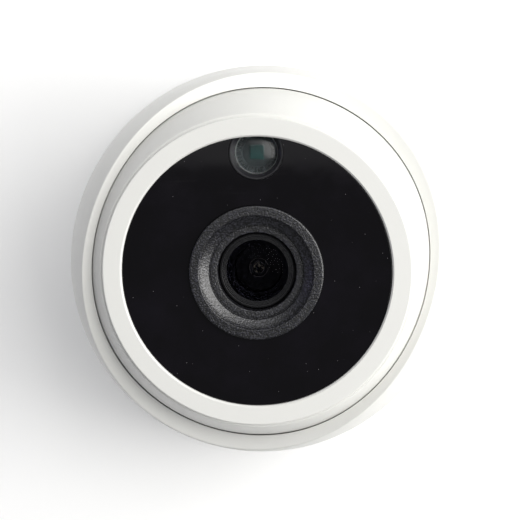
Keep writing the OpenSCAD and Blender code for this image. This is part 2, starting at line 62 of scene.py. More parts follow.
MM = 0.001
SEGMENTS = 192                      # steps round a large turned part
SMALL_SEGMENTS = 96                 # steps round a small turned part
ROD_SEGMENTS = 64
ARC_STEPS = 6                       # steps of a rounded corner
SHARP_ANGLE = math.radians(35)      # edges bent by more than this stay sharp
MERGE = 1e-7                        # metres within which points are one
OVERSHOOT = 1                       # how far a cutting tool passes the faces it cuts

JOINTS = {joint["name"]: joint for joint in frame["joints"]}
BALL_CENTRE = Vector(JOINTS["tilt"]["pos_m"])
LENS_AXIS = Vector(JOINTS["roll"]["axis"]).normalized()
TILT_AXIS = Vector(JOINTS["tilt"]["axis"])
TURRET_TURN = math.atan2(TILT_AXIS.y, TILT_AXIS.x)


def lens_frame():
    """The ball's centre with Z along the lens axis and Y towards the top of the picture."""
    lean = Vector((0, 0, 1)).rotation_difference(LENS_AXIS)
    return Matrix.Translation(BALL_CENTRE) @ lean.to_matrix().to_4x4()


ON_AXIS = lens_frame()
UPRIGHT = Matrix.Identity(4)


def extents(node, place=UPRIGHT):
    """Smallest and largest radius and height of a CAD node in a frame."""
    back = place.inverted()
    points = [back @ v.co / MM for v in frame["nodes"][node].data.vertices]
    radii = [math.hypot(p.x, p.y) for p in points]
    heights = [p.z for p in points]
    return min(radii), max(radii), min(heights), max(heights)


def inner_radius(node, height):
    """Smallest radius of a CAD node round the upright axis at a height."""
    points = [v.co / MM for v in frame["nodes"][node].data.vertices]
    return min(math.hypot(p.x, p.y) for p in points if abs(p.z - height) < 0.01)


# ---- Mesh tools ----

def rounded(corners):
    """A closed outline with an arc at each corner that has a third number, its rounding."""
    outline = []
    for i, corner in enumerate(corners):
        here = Vector(corner[:2])
        radius = corner[2] if len(corner) > 2 else 0
        before = Vector(corners[i - 1][:2]) - here
        after = Vector(corners[(i + 1) % len(corners)][:2]) - here
        if radius == 0 or before.length < 1e-6 or after.length < 1e-6:
            outline.append(here)
            continue
        half_angle = before.angle(after) / 2
        reach = min(radius / math.tan(half_angle), 0.45 * before.length, 0.45 * after.length)
        start = here + before.normalized() * reach
        end = here + after.normalized() * reach
        for step in range(ARC_STEPS + 1):
            t = step / ARC_STEPS
            outline.append(start.lerp(here, t).lerp(here.lerp(end, t), t))
    return outline


def on_circle(centre_z, radius, angle):
    """The point of a circle centred on the axis, at an angle up from level."""
    return [radius * math.cos(angle), centre_z + radius * math.sin(angle)]


def arc(centre_z, radius, start, end, steps):
    """Points of a circle centred on the axis, between two angles up from level."""
    return [on_circle(centre_z, radius, start + (end - start) * i / steps) for i in range(steps + 1)]


def dome(top_z, radius, rim, steps):
    """Points of a dome from its rim to its top on the axis."""
    return arc(top_z - radius, radius, math.acos(rim / radius), math.pi / 2, steps)


def keep_sharp_edges(bm):
    """Marks as sharp the edges that bend by more than the sharp angle."""
    for edge in bm.edges:
        edge.smooth = len(edge.link_faces) == 2 and edge.calc_face_angle(0) < SHARP_ANGLE


def mesh_object(name, bm):
    """A smooth shaded object from a bmesh, with its sharp edges kept."""
    bmesh.ops.remove_doubles(bm, verts=bm.verts, dist=MERGE)
    bmesh.ops.recalc_face_normals(bm, faces=bm.faces)
    for face in bm.faces:
        face.smooth = True
    keep_sharp_edges(bm)
    mesh = bpy.data.meshes.new(name)
    bm.to_mesh(mesh)
    bm.free()
    piece = bpy.data.objects.new(name, mesh)
    bpy.context.scene.collection.objects.link(piece)
    return piece


def join_sections(bm, here, beside):
    """Faces between two closed sections with the same number of points."""
    count = len(here)
    for j in range(count):
        k = (j + 1) % count
        bm.faces.new((here[j], beside[j], beside[k], here[k]))


def spin(name, outline, place=UPRIGHT, segments=SEGMENTS, centre=(0, 0)):
    """A solid turned from a closed outline, or from a function that gives the outline at each angle."""
    bm = bmesh.new()
    columns = []
    for i in range(segments):
        angle = 2 * math.pi * i / segments
        points = outline(angle) if callable(outline) else outline
        column = []
        for r, z in points:
            spot = Vector((centre[0] + r * math.cos(angle), centre[1] + r * math.sin(angle), z)) * MM
            column.append(bm.verts.new(place @ spot))
        columns.append(column)
    for i in range(segments):
        join_sections(bm, columns[i], columns[(i + 1) % segments])
    bmesh.ops.remove_doubles(bm, verts=bm.verts, dist=MERGE)
    bmesh.ops.dissolve_degenerate(bm, edges=bm.edges, dist=MERGE / 10)
    return mesh_object(name, bm)


def rod(radius, start, end, place=UPRIGHT, segments=ROD_SEGMENTS):
    """A cylinder between two points, for cutting or adding."""
    start, end = Vector(start), Vector(end)
    bm = bmesh.new()
    bmesh.ops.create_cone(bm, cap_ends=True, segments=segments, radius1=radius * MM, radius2=radius * MM,
                          depth=(end - start).length * MM)
    turn = Vector((0, 0, 1)).rotation_difference(end - start).to_matrix().to_4x4()
    bm.transform(place @ Matrix.Translation((start + end) / 2 * MM) @ turn)
    return mesh_object("tool", bm)


def sector(inner, outer, low, high, start, span):
    """Part of a ring between two radii and two heights, through an angle in degrees."""
    bm = bmesh.new()
    steps = max(2, round(span))
    corners = ((inner, low), (outer, low), (outer, high), (inner, high))
    sections = []
    for i in range(steps + 1):
        a = math.radians(start + span * i / steps)
        spots = [Vector((r * math.cos(a), r * math.sin(a), z)) * MM for r, z in corners]
        sections.append([bm.verts.new(spot) for spot in spots])
    for here, beside in zip(sections, sections[1:]):
        join_sections(bm, here, beside)
    bm.faces.new(sections[0])
    bm.faces.new(list(reversed(sections[-1])))
    return mesh_object("tool", bm)


def thirds(start=0):
    """Three angles in degrees, equally spaced."""
    return [start + 120 * i for i in range(3)]


def upright_rods(radius, ring_radius, low, high, angles, segments):
    """Upright cylinders of a radius, on a ring, at angles in degrees."""
    rods = []
    for degrees in angles:
        a = math.radians(degrees)
        x, y = ring_radius * math.cos(a), ring_radius * math.sin(a)
        rods.append(rod(radius, (x, y, low), (x, y, high), segments=segments))
    return rods


def combine(piece, tools, operation="DIFFERENCE"):
    """Cuts the tools out of a piece, or adds them to it, and keeps the result as its mesh."""
    for tool in tools:
        modifier = piece.modifiers.new("combine", "BOOLEAN")
        modifier.operation = operation
        modifier.solver = "EXACT"
        modifier.object = tool
        made = bpy.data.meshes.new_from_object(piece.evaluated_get(bpy.context.evaluated_depsgraph_get()))
        piece.modifiers.clear()
        piece.data = made
        bpy.data.objects.remove(tool)
    bm = bmesh.new()
    bm.from_mesh(piece.data)
    bmesh.ops.remove_doubles(bm, verts=bm.verts, dist=MERGE)
    keep_sharp_edges(bm)
    bm.to_mesh(piece.data)
    bm.free()
    return piece


def place_piece(piece, body, slot, *nodes, material=None):
    """Puts a piece on its body, in the place of its CAD nodes, with its slot's material or its own."""
    piece.data.materials.clear()
    piece.data.materials.append(material or MATERIALS[slot])
    weighted = piece.modifiers.new("even_shading", "WEIGHTED_NORMAL")
    weighted.keep_sharp = True
    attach(piece, body)
    if nodes:
        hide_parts(*nodes)
    return piece


# ---- Materials ----

class Surface:
    """A material under construction, with short calls for its nodes."""

    def __init__(self, name, color, roughness, metallic=0.0):
        self.material = bpy.data.materials.new(name)
        self.material.use_nodes = True
        self.tree = self.material.node_tree
        self.shader = self.tree.nodes["Principled BSDF"]
        self.set(Base_Color=(*color, 1), Roughness=roughness, Metallic=metallic)
        self.place = self.tree.nodes.new("ShaderNodeTexCoord").outputs["Object"]

    def set(self, **values):
        """Sets inputs of the shader to values."""
        for name, value in values.items():
            self.shader.inputs[name.replace("_", " ")].default_value = value

    def use(self, **sources):
        """Links inputs of the shader to nodes' outputs."""
        for name, source in sources.items():
            self.tree.links.new(source, self.shader.inputs[name.replace("_", " ")])

    def noise(self, size, detail, rough=0.5, stretch=None):
        """Noise with features of a size in millimetres."""
        noise = self.tree.nodes.new("ShaderNodeTexNoise")
        noise.inputs["Scale"].default_value = 1 / (size * MM)
        noise.inputs["Detail"].default_value = detail
        noise.inputs["Roughness"].default_value = rough
        place = self.place
        if stretch:
            mapping = self.tree.nodes.new("ShaderNodeMapping")
            mapping.inputs["Scale"].default_value = stretch
            self.tree.links.new(place, mapping.inputs["Vector"])
            place = mapping.outputs["Vector"]
        self.tree.links.new(place, noise.inputs["Vector"])
        return noise.outputs["Fac"]

    def specks(self, size, share):
        """A mask of specks scattered a size apart. Each covers about a share of its cell."""
        cells = self.tree.nodes.new("ShaderNodeTexVoronoi")
        cells.inputs["Scale"].default_value = 1 / (size * MM)
        self.tree.links.new(self.place, cells.inputs["Vector"])
        return self.ramp(cells.outputs["Distance"], share, share * 0.6, 0.0, 1.0)

    def ramp(self, value, low, high, to_low, to_high):
        """A value moved from one range to another, and held inside it."""
        span = self.tree.nodes.new("ShaderNodeMapRange")
        for name, number in (("From Min", low), ("From Max", high), ("To Min", to_low), ("To Max", to_high)):
            span.inputs[name].default_value = number
        self.tree.links.new(value, span.inputs["Value"])
        return span.outputs["Result"]

    def mix_color(self, mask, first, second):
        """A colour between two, by a mask. Each is a colour or a node's output."""
        mix = self.tree.nodes.new("ShaderNodeMix")
        mix.data_type = "RGBA"
        self.tree.links.new(mask, mix.inputs["Factor"])
        for socket, value in ((mix.inputs[6], first), (mix.inputs[7], second)):
            if isinstance(value, bpy.types.NodeSocket):
                self.tree.links.new(value, socket)
            else:
                socket.default_value = (*value, 1)
        return mix.outputs[2]

    def mix_gloss(self, mask, first, second):
        """A roughness between two, by a mask. Each is a number or a node's output."""
        ends = [(end, end, end) if isinstance(end, float) else end for end in (first, second)]
        return self.mix_color(mask, *ends)

    def bump(self, height, depth):
        """Adds a bump of a depth in millimetres on top of any bump already there."""
        bump = self.tree.nodes.new("ShaderNodeBump")
        bump.inputs["Distance"].default_value = depth * MM
        bump.inputs["Strength"].default_value = 1.0
        self.tree.links.new(height, bump.inputs["Height"])
        normal = self.shader.inputs["Normal"]
        if normal.links:
            self.tree.links.new(normal.links[0].from_socket, bump.inputs["Normal"])
        self.tree.links.new(bump.outputs["Normal"], normal)


def shade(color, factor):
    """A colour made darker or lighter."""
    return tuple(min(1.0, c * factor) for c in color)


def moulded(name, color, roughness, grain, depth, spread, mottle):
    """Moulded plastic: grain of a size and depth in millimetres, and slow change of gloss and colour."""
    s = Surface(name, color, roughness)
    slow = s.noise(9, 2)
    base = s.mix_color(slow, shade(color, 1 - mottle), shade(color, 1 + mottle))
    gloss = s.ramp(s.noise(1.6, 4), 0.3, 0.7, roughness - spread, roughness + spread)
    s.use(Base_Color=base, Roughness=gloss)
    s.bump(s.noise(grain, 2, 0.6), depth)
    return s.material


def metal(name, color, roughness, stretch=(1, 1, 1)):
    """Machined or plated metal: fine tool marks and uneven gloss."""
    s = Surface(name, color, roughness, 1.0)
    s.use(Base_Color=s.mix_color(s.noise(1.5, 3), shade(color, 0.88), shade(color, 1.08)))
    s.use(Roughness=s.ramp(s.noise(0.6, 4), 0.3, 0.7, roughness * 0.7, roughness * 1.3))
    s.bump(s.noise(0.15, 3, 0.6, stretch), 0.004)
    return s.material


def circuit(name, mask_color, metal_color):
    """Solder mask with copper traces showing as low ridges, and small tinned pads."""
    s = Surface(name, mask_color, 0.35)
    bricks = s.tree.nodes.new("ShaderNodeTexBrick")
    bricks.inputs["Scale"].default_value = 1 / (1.6 * MM)
    bricks.inputs["Mortar Size"].default_value = 0.06
    s.tree.links.new(s.place, bricks.inputs["Vector"])
    traces = bricks.outputs["Fac"]
    base = s.mix_color(traces, mask_color, shade(mask_color, 1.5))
    base = s.mix_color(s.specks(2.2, 0.16), base, metal_color)
    s.use(Base_Color=base, Roughness=s.ramp(s.noise(1.2, 3), 0.3, 0.7, 0.25, 0.45))
    s.bump(traces, 0.03)
    s.bump(s.noise(0.5, 3), 0.01)
    return s.material


def window_acrylic(name):
    """Polished black acrylic with wiped smears, hairlines and a little dust."""
    s = Surface(name, (0.003, 0.0025, 0.004), 0.06)
    dust = s.specks(1.7, 0.045)
    smears = s.ramp(s.noise(11, 5, 0.6), 0.45, 0.75, 0.0, 1.0)
    hairlines = s.ramp(s.noise(2.0, 6, 0.7, (0.12, 1.6, 1)), 0.62, 0.66, 0.0, 0.35)
    base = s.mix_color(smears, (0.0025, 0.002, 0.003), (0.0045, 0.0035, 0.006))
    s.use(Base_Color=s.mix_color(dust, base, (0.16, 0.15, 0.16)))
    gloss = s.mix_gloss(smears, 0.05, 0.13)
    gloss = s.mix_gloss(hairlines, gloss, 0.22)
    s.use(Roughness=s.mix_gloss(dust, gloss, 0.7))
    s.bump(s.noise(30, 2), 0.02)
    return s.material


def hood_plastic(name):
    """Black plastic with a spark-eroded grain, whose crests are glossier and painted paler as sparkle, with its
    hollows painted darker as shade.
    """
    s = Surface(name, (0.025, 0.025, 0.029), 0.36)
    s.set(Specular_IOR_Level=0.85)
    grain = s.noise(0.3, 1, 0.6)
    # Painted sparkle and shade: the grain's crests are paler and its hollows darker in the base colour.
    painted_sparkle = s.ramp(grain, 0.48, 0.64, 0.0, 1.0)
    s.use(Base_Color=s.mix_color(painted_sparkle, (0.001, 0.001, 0.0015), (0.04, 0.04, 0.05)))
    s.use(Roughness=s.ramp(grain, 0.4, 0.6, 0.36, 0.22))
    s.bump(grain, 0.09)
    return s.material


def lens_glass(name):
    """Coated glass with a faint violet tint. Its index is set low, because the coating hardly reflects."""
    s = Surface(name, (0.32, 0.32, 0.38), 0.0)
    s.set(Transmission_Weight=1.0, IOR=1.06)
    s.use(Roughness=s.ramp(s.noise(2.5, 4), 0.35, 0.75, 0.01, 0.03))
    return s.material


def filter_glass(name):
    """Blue-green glass that holds back infrared, with faint smears in its gloss."""
    s = Surface(name, (0.7, 0.92, 1.0), 0.0)
    s.set(Transmission_Weight=1.0, IOR=1.52, Specular_Tint=(0.6, 1.0, 0.9, 1))
    s.use(Roughness=s.ramp(s.noise(2.5, 4), 0.35, 0.75, 0.0, 0.05))
    return s.material


def led_resin(name):
    """Cloudy clear resin under a glossy skin."""
    s = Surface(name, (0.74, 0.8, 0.81), 0.2)
    s.set(Transmission_Weight=1.0, IOR=1.32, Coat_Weight=0.15, Coat_Roughness=0.03)
    s.use(Roughness=s.ramp(s.noise(1.2, 3), 0.3, 0.7, 0.16, 0.24))
    return s.material


def pupil_glass(name):
    """The coated element behind the stop, dark, with faint yellowish gleams painted into its colour as reflections
    from the elements under it.
    """
    s = Surface(name, (0.01, 0.01, 0.01), 0.1)
    # Painted reflection: yellowish patches in the base colour stand in for gleams from the elements under the
    # glass.
    painted_gleams = s.ramp(s.noise(0.7, 2, 0.6), 0.52, 0.6, 0.0, 1.0)
    s.use(Base_Color=s.mix_color(painted_gleams, (0.01, 0.01, 0.01), (0.55, 0.5, 0.3)))
    s.use(Roughness=s.ramp(s.noise(0.5, 3), 0.35, 0.65, 0.08, 0.2))
    return s.material


def blackened(name):
    """Satin black of the stop inside the lens."""
    s = Surface(name, (0.008, 0.0075, 0.006), 0.35)
    s.use(Roughness=s.ramp(s.noise(2.0, 3), 0.35, 0.65, 0.3, 0.4))
    return s.material


# Each row: colour, roughness, size and depth of the grain in millimetres, spread of the gloss and
# mottle of the colour.
MOULDED = {
    "white_plastic": ((0.83, 0.83, 0.80), 0.42, 0.35, 0.006, 0.07, 0.012),
    "black_plastic": ((0.02, 0.02, 0.022), 0.5, 0.25, 0.015, 0.1, 0.1),
    "lens_metal": ((0.022, 0.022, 0.024), 0.27, 0.12, 0.003, 0.06, 0.1),
    "led_package": ((0.055, 0.058, 0.062), 0.35, 0.4, 0.02, 0.1, 0.3),
    "led_holder": ((0.011, 0.011, 0.014), 0.4, 0.3, 0.02, 0.1, 0.1),
    "rubber_black": ((0.018, 0.018, 0.018), 0.7, 0.4, 0.03, 0.12, 0.1),
    "foam_black": ((0.025, 0.025, 0.028), 0.9, 0.5, 0.12, 0.08, 0.15),
    "acetal": ((0.78, 0.78, 0.74), 0.38, 0.5, 0.006, 0.08, 0.03),
    "chip": ((0.022, 0.022, 0.024), 0.55, 0.2, 0.02, 0.08, 0.1),
    "connector": ((0.8, 0.76, 0.62), 0.4, 0.4, 0.008, 0.08, 0.03),
    "red_wire": ((0.42, 0.025, 0.02), 0.4, 0.4, 0.01, 0.08, 0.03),
    "sensor_black": ((0.08, 0.08, 0.09), 0.35, 0.3, 0.01, 0.08, 0.03),
}

# Each row: colour, roughness, and where the tool marks run one way, their stretch.
METALS = {
    "screw_steel": ((0.6, 0.61, 0.63), 0.28),
    "spacer_brass": ((0.72, 0.56, 0.25), 0.25, (1, 1, 5)),
    "copper_wire": ((0.62, 0.26, 0.1), 0.3, (6, 1, 1)),
    "magnet": ((0.2, 0.2, 0.22), 0.5),
}

# Each row: colours of the solder mask and of the bare metal.
CIRCUITS = {
    "board": ((0.015, 0.13, 0.06), (0.75, 0.6, 0.3)),
    "led_board_white": ((0.8, 0.8, 0.77), (0.7, 0.7, 0.7)),
}

OTHERS = {
    "window_acrylic": window_acrylic,
    "hood_plastic": hood_plastic,
    "lens_glass": lens_glass,
    "filter_glass": filter_glass,
    "led_resin": led_resin,
}


def build_materials():
    """One material for each slot of the record."""
    made = {name: make(name) for name, make in OTHERS.items()}
    for make, rows in ((moulded, MOULDED), (metal, METALS), (circuit, CIRCUITS)):
        for name, row in rows.items():
            made[name] = make(name, *row)
    return made


def dress_cad_nodes():
    """Gives every CAD node the material of its slot."""
    for part in frame["record"]["subparts"]:
        mesh = frame["nodes"][part["node"]].data
        mesh.materials.clear()
        mesh.materials.append(MATERIALS[part["material_slot"]])


MATERIALS = build_materials()
dress_cad_nodes()


# ---- Turret housing ----

WALL_LEAN = math.radians(8.9)
WALL_HEIGHTS = (10.5, 14, 19, 25, 31, 37, 42)
SHOULDER_Z = 40
SHOULDER_R = 39.3
SCOOP_R = 62
SCOOP_LIMIT = math.radians(80)  # the rim is never as steep as this, seen from the ball
SEARCH_STEPS = 40
RIM_LOW = 50
WALL_T = 2.2
FLANGE_T = 2
SOCKET_Z = 31
BALL_GAP = 0.35
LIP_GAP = 0.15                  # between the ball and the edge of the housing's mouth

_, HOUSING_R, HOUSING_Z, _ = extents("turret_housing")
HUB_BORE_R = inner_radius("turret_housing", HOUSING_Z)
_, BALL_R, _, _ = extents("eyeball_rear_shell", ON_AXIS)
BALL_Z = BALL_CENTRE.z / MM
CAVITY_R = BALL_R + BALL_GAP


def wall_r(z):
    """Outer radius of the leaning wall at a height."""
    return HOUSING_R - math.tan(WALL_LEAN) * (z - HOUSING_Z)


def wall_inner_r(z):
    """Inner radius of the leaning wall at a height."""
    return wall_r(z) - WALL_T


def scoop_z(r, angle):
    """Height of the scooped mouth at a radius and an angle round the housing."""
    return RIM_LOW + SCOOP_R - math.sqrt(SCOOP_R ** 2 - (r * math.cos(angle - TURRET_TURN)) ** 2)


def meet_scoop(centre_z, radius, angle):
    """Angle up from level where a sphere round the axis meets the scooped mouth."""
    low, high = 0.0, SCOOP_LIMIT
    for _ in range(SEARCH_STEPS):
        middle = (low + high) / 2
        r, z = on_circle(centre_z, radius, middle)
        low, high = (low, middle) if z > scoop_z(r, angle) else (middle, high)
    return (low + high) / 2


def housing_outline(angle):
    """The housing's section at an angle: the wall, the round shoulder, the scooped rim and the socket."""
    flange_top = HOUSING_Z + FLANGE_T
    outer_end = meet_scoop(SHOULDER_Z, SHOULDER_R, angle)
    inner_end = meet_scoop(BALL_Z, CAVITY_R, angle)
    before_rim = outer_end - math.radians(1.1)
    after_rim = inner_end - math.radians(0.9)
    wall = [[wall_r(HOUSING_Z), HOUSING_Z, 0.35]]
    wall += [[wall_r(z), z] for z in WALL_HEIGHTS]
    shoulder = arc(SHOULDER_Z, SHOULDER_R, WALL_LEAN, before_rim, 16)
    rim = [on_circle(SHOULDER_Z, SHOULDER_R, outer_end) + [0.7],
           on_circle(BALL_Z, BALL_R + LIP_GAP, inner_end) + [0.12]]
    socket = arc(BALL_Z, CAVITY_R, after_rim, 0, 10)
    hollow = [[wall_inner_r(SOCKET_Z), SOCKET_Z], [wall_inner_r(HOUSING_Z), flange_top, 0.4],
              [HUB_BORE_R, flange_top, 0.2], [HUB_BORE_R, HOUSING_Z, 0.2]]
    return rounded(wall + shoulder + rim + socket + hollow)


place_piece(spin("turret_shell", housing_outline), "turret", "white_plastic", "turret_housing")

# ---- Base ring and mounting plate ----

_, PLATE_R, _, HOOK_TOP = extents("mount_plate")
_, _, SKIRT_Z, HUB_TOP = extents("base_ring")
RIM_Z = HOUSING_Z - 0.1
WEB_Z = 4.8
WEB_TOP = 6.8
STRAIGHT_Z = 3                  # the foot of the base's wall is upright up to here
HUB_R = HUB_BORE_R - 0.1
HUB_INNER_R = HUB_R - 1.6
LUG_R = 35                      # ring of the lugs for the pan retainer's screws
LUG_REACH = 2.3                 # of a lug inwards from its screw
LUG_BITE = 0.8                  # of a lug short of the hub's outside
LUG_SPAN = 8
LUG_HOLE_R = 1.15

PLATE_T = 2.4
HOOK_STEM_R = (39.2, 40.8)      # of a hook, inside and outside
HOOK_HEAD_R = (38.4, 41.6)      # of a hook's head, inside and outside
HEAD_T = 1.6
HOOK_SPAN = 8
SLOT_GAP = 0.3                  # round a hook in its slot
SLOT_SPAN = 25
ENTRY_START = 14                # degrees along a slot where it widens for the hook's head
ENTRY_SPAN = 10
RECESS_R = (24.5, 37.5)
RECESS_T = 0.8
RIB_R = (20.6, 22)
RIB_T = 0.8
CABLE_COLLAR_T = 1.2
CABLE_COLLAR_W = 2.5
BOSS_R = 4.3
BOSS_T = 0.6
SCREW_RING_R = 30
SCREW_HOLE_R = 2.1
CABLE_HOLE_R = 9


def base_ring():
    """The skirt under the housing, with the hub it turns on, screw lugs and the bayonet's slots."""
    foot_r = wall_r(STRAIGHT_Z)
    outside = [[foot_r, SKIRT_Z, 0.3], [foot_r, STRAIGHT_Z, 0.5], [wall_r(RIM_Z), RIM_Z, 0.45]]
    top = [[wall_inner_r(RIM_Z), RIM_Z, 0.2], [wall_inner_r(WEB_TOP), WEB_TOP, 0.3], [HUB_R, WEB_TOP, 0.3]]
    hub = [[HUB_R, HUB_TOP, 0.15], [HUB_INNER_R, HUB_TOP, 0.15], [HUB_INNER_R, WEB_Z, 0.2]]
    foot_inner_r = foot_r - WALL_T
    under = [[wall_inner_r(WEB_Z), WEB_Z, 0.3], [foot_inner_r, STRAIGHT_Z], [foot_inner_r, SKIRT_Z, 0.2]]
    ring = spin("base_skirt", rounded(outside + top + hub + under))

    lug = (LUG_R - LUG_REACH, HUB_R - LUG_BITE, WEB_Z + 0.4, HUB_TOP - 0.05)
    lugs = [sector(*lug, a - LUG_SPAN / 2, LUG_SPAN) for a in thirds(60)]
    combine(ring, lugs, "UNION")

    low, high = WEB_Z - OVERSHOOT, WEB_TOP + OVERSHOOT / 2
    slot = (HOOK_STEM_R[0] - SLOT_GAP, HOOK_STEM_R[1] + SLOT_GAP, low, high)
    entry = (HOOK_HEAD_R[0] - SLOT_GAP, HOOK_HEAD_R[1] + SLOT_GAP, low, high)
    slots = [sector(*slot, a - 1, SLOT_SPAN) for a in thirds()]
    slots += [sector(*entry, a + ENTRY_START, ENTRY_SPAN) for a in thirds()]
    holes = upright_rods(LUG_HOLE_R, LUG_R, low, HUB_TOP + OVERSHOOT, thirds(60), 32)
    return combine(ring, slots + holes)


def mount_plate():
    """The plate screwed to the wall, with a recess under it and three hooks for the bayonet."""
    recess_in, recess_out = RECESS_R
    rib_in, rib_out = RIB_R
    rib_top = PLATE_T + RIB_T
    collar_r = CABLE_HOLE_R + CABLE_COLLAR_W
    collar_top = PLATE_T + CABLE_COLLAR_T
    under = [[CABLE_HOLE_R, 0, 0.3], [recess_in, 0, 0.15], [recess_in, RECESS_T, 0.1],
             [recess_out, RECESS_T, 0.1], [recess_out, 0, 0.15], [PLATE_R, 0, 0.3]]
    top = [[PLATE_R, PLATE_T, 0.4], [rib_out, PLATE_T, 0.2], [rib_out, rib_top, 0.2],
           [rib_in, rib_top, 0.2], [rib_in, PLATE_T, 0.2]]
    collar = [[collar_r, PLATE_T, 0.3], [collar_r, collar_top, 0.3], [CABLE_HOLE_R, collar_top, 0.3]]
    plate = spin("mounting_plate", rounded(under + top + collar))

    bosses = upright_rods(BOSS_R, SCREW_RING_R, 0, PLATE_T + BOSS_T, thirds(30), ROD_SEGMENTS)
    hooks = [sector(*HOOK_STEM_R, PLATE_T - 0.4, HOOK_TOP, a, HOOK_SPAN) for a in thirds()]
    heads = [sector(*HOOK_HEAD_R, HOOK_TOP - HEAD_T, HOOK_TOP, a, HOOK_SPAN) for a in thirds()]
    combine(plate, bosses + hooks + heads, "UNION")

    holes = upright_rods(SCREW_HOLE_R, SCREW_RING_R, -OVERSHOOT, PLATE_T + 2 * OVERSHOOT, thirds(30), 48)
    return combine(plate, holes)


place_piece(base_ring(), "base", "white_plastic", "base_ring")
place_piece(mount_plate(), "mount", "white_plastic", "mount_plate")

# ---- Eyeball's front shell ----

INNER_R = BALL_R - 2.2
MOUTH_R, _, _, LAND_TOP = extents("eyeball_front_shell", ON_AXIS)
LAND_Z = 13.4
SPLIT_Z = 0.05          # half of the fine gap between the two shells


def front_shell():
    """The front half of the ball, hollow, with a flat land round its mouth."""
    top = math.asin(LAND_TOP / BALL_R)
    land = math.asin(LAND_Z / INNER_R)
    outline = [[BALL_R, SPLIT_Z, 0.05]]
    outline += arc(0, BALL_R, math.radians(1), top - math.radians(0.9), 24)
    outline += [[BALL_R * math.cos(top), LAND_TOP, 0.35], [MOUTH_R, LAND_TOP, 0.2], [MOUTH_R, LAND_Z]]
    outline += arc(0, INNER_R, land, math.radians(0.5), 16)
    outline += [[INNER_R, SPLIT_Z]]
    return spin("eyeball_front", rounded(outline), ON_AXIS)


place_piece(front_shell(), "eyeball", "white_plastic", "eyeball_front_shell")

# ---- Bezel and window ----

_, BEZEL_R, _, FACE_Z = extents("bezel_ring", ON_AXIS)
HOOD_HOLE_R, WINDOW_R, WINDOW_BACK, WINDOW_FRONT = extents("window", ON_AXIS)
COLLAR_R = MOUTH_R - 0.1
COLLAR_WALL = 1.6
ROLL_Z = 12.8               # where the collar that turns in the ball's mouth starts
LIP_T = 0.8                 # of the bezel's flange in front of the ball
POCKET_Z = WINDOW_BACK - 0.15
LEDGE_Z = WINDOW_BACK - 2.15
LEDGE_R = 23.6
LED_Y = 22.65               # the array LED's centre, up from the lens axis
LED_NOTCH_R = 4.15
WINDOW_NOTCH_R = 5.15


def led_notch(radius, low, high, segments=ROD_SEGMENTS):
    """A cylinder round the array LED's axis, for cutting."""
    return rod(radius, (0, LED_Y, low), (0, LED_Y, high), ON_AXIS, segments)


def bezel():
    """The white ring round the window, with the collar that turns in the ball's mouth."""
    lip_z = FACE_Z - LIP_T
    window_r = WINDOW_R + 0.05
    collar_in = COLLAR_R - COLLAR_WALL
    collar = [[LEDGE_R, LEDGE_Z], [collar_in, LEDGE_Z], [collar_in, ROLL_Z, 0.1], [COLLAR_R, ROLL_Z, 0.1]]
    flange = [[COLLAR_R, lip_z, 0.05], [BEZEL_R, lip_z, 0.15], [BEZEL_R, FACE_Z, 0.45]]
    pocket = [[window_r + 0.3, FACE_Z, 0.12], [window_r, FACE_Z - 0.25, 0.1], [window_r, POCKET_Z],
              [LEDGE_R, POCKET_Z, 0.1]]
    ring = spin("bezel", rounded(collar + flange + pocket), ON_AXIS)
    return combine(ring, [led_notch(LED_NOTCH_R, LEDGE_Z - OVERSHOOT, POCKET_Z + 0.25)])


def window():
    """The black disc, with the hood's hole and the round notch for the LED."""
    outline = [[HOOD_HOLE_R, WINDOW_BACK, 0.08], [WINDOW_R, WINDOW_BACK, 0.08],
               [WINDOW_R, WINDOW_FRONT, 0.15], [HOOD_HOLE_R, WINDOW_FRONT, 0.1]]
    disc = spin("window_disc", rounded(outline), ON_AXIS)
    low, high = WINDOW_BACK - OVERSHOOT, FACE_Z + OVERSHOOT
    return combine(disc, [led_notch(WINDOW_NOTCH_R, low, high, SMALL_SEGMENTS)])


place_piece(bezel(), "face", "white_plastic", "bezel_ring")
place_piece(window(), "face", "window_acrylic", "window")

# ---- Lens hood ----

_, _, HOOD_BACK, HOOD_FRONT = extents("lens_hood", ON_AXIS)
HOOD_R = HOOD_HOLE_R - 0.05
HOOD_BORE_R = 7.45
HOOD_TUBE_R = 9.2
HOOD_SEAT_R = 15.4
HOOD_SEAT_TOP = WINDOW_BACK - 0.05
FUNNEL = [[10.95, HOOD_FRONT, 0.15], [10.75, 19.15], [10.4, 18.86], [10.05, 18.62], [9.7, 18.42],
          [9.35, 18.24], [9.1, 18.12, 0.08]]    # curved in, from the front face to the step
INNER_STEP = [[9.05, 17.1], [8.85, 17.1], [8.8, 17.25, 0.1], [7.6, 17.2, 0.1], [HOOD_BORE_R, 16.75]]


def hood():
    """The textured ring round the lens: a flat face, a funnel, a fine groove and a flat inner ring."""
    back = [[HOOD_BORE_R, HOOD_BACK], [HOOD_TUBE_R, HOOD_BACK], [HOOD_TUBE_R, LEDGE_Z],
            [HOOD_SEAT_R, LEDGE_Z], [HOOD_SEAT_R, HOOD_SEAT_TOP], [HOOD_R, HOOD_SEAT_TOP]]
    face = [[HOOD_R, HOOD_FRONT, 0.35]]
    return spin("hood", rounded(back + face + FUNNEL + INNER_STEP), ON_AXIS)


place_piece(hood(), "face", "hood_plastic", "lens_hood")

# ---- Lens ----

